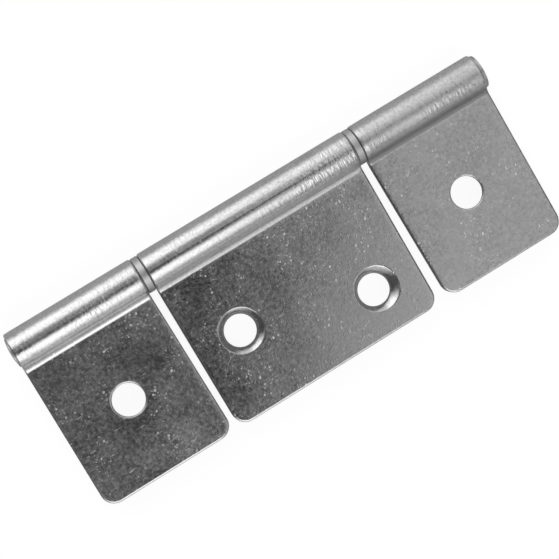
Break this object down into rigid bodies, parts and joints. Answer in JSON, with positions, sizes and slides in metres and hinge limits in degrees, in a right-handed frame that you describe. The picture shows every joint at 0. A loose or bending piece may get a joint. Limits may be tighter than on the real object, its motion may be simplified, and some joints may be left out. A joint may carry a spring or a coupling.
{
  "type": "three-leaf hinge",
  "caption": "Non-mortise hinge with a wide centre leaf between narrower outer leaves, all rolled round a single headed pin.",
  "frame": {"origin": "on the pin's axis, at the middle of the centre leaf's width, which is also the middle plane of the closed leaves", "axes": "+X along the pin towards the right leaf; the closed leaves reach towards -Y; +Z is the side that the centre leaf's countersinks open to"},
  "size_m": [0.0773, 0.0282, 0.0056],
  "materials": {
    "leaf_steel": "bright zinc-plated sheet steel with fine mottling and rubbed highlights",
    "pin_steel": "bright drawn wire with a low head at one end, hammered over at the other",
    "washer_steel": "blanked and tumbled steel"
  },
  "bodies": {
    "centre": {"centre_leaf": "leaf_steel", "hinge_pin": "pin_steel", "left_washer": "washer_steel", "right_washer": "washer_steel"},
    "left": {"left_leaf": "leaf_steel"},
    "right": {"right_leaf": "leaf_steel"}
  },
  "joints": [
    {"name": "left_leaf_turn", "type": "hinge", "parent": "centre", "child": "left", "pos_m": [-0.02803, 0, 0], "axis": [-1, 0, 0], "continuous": true},
    {"name": "right_leaf_turn", "type": "hinge", "parent": "centre", "child": "right", "pos_m": [0.02803, 0, 0], "axis": [-1, 0, 0], "continuous": true}
  ]
}
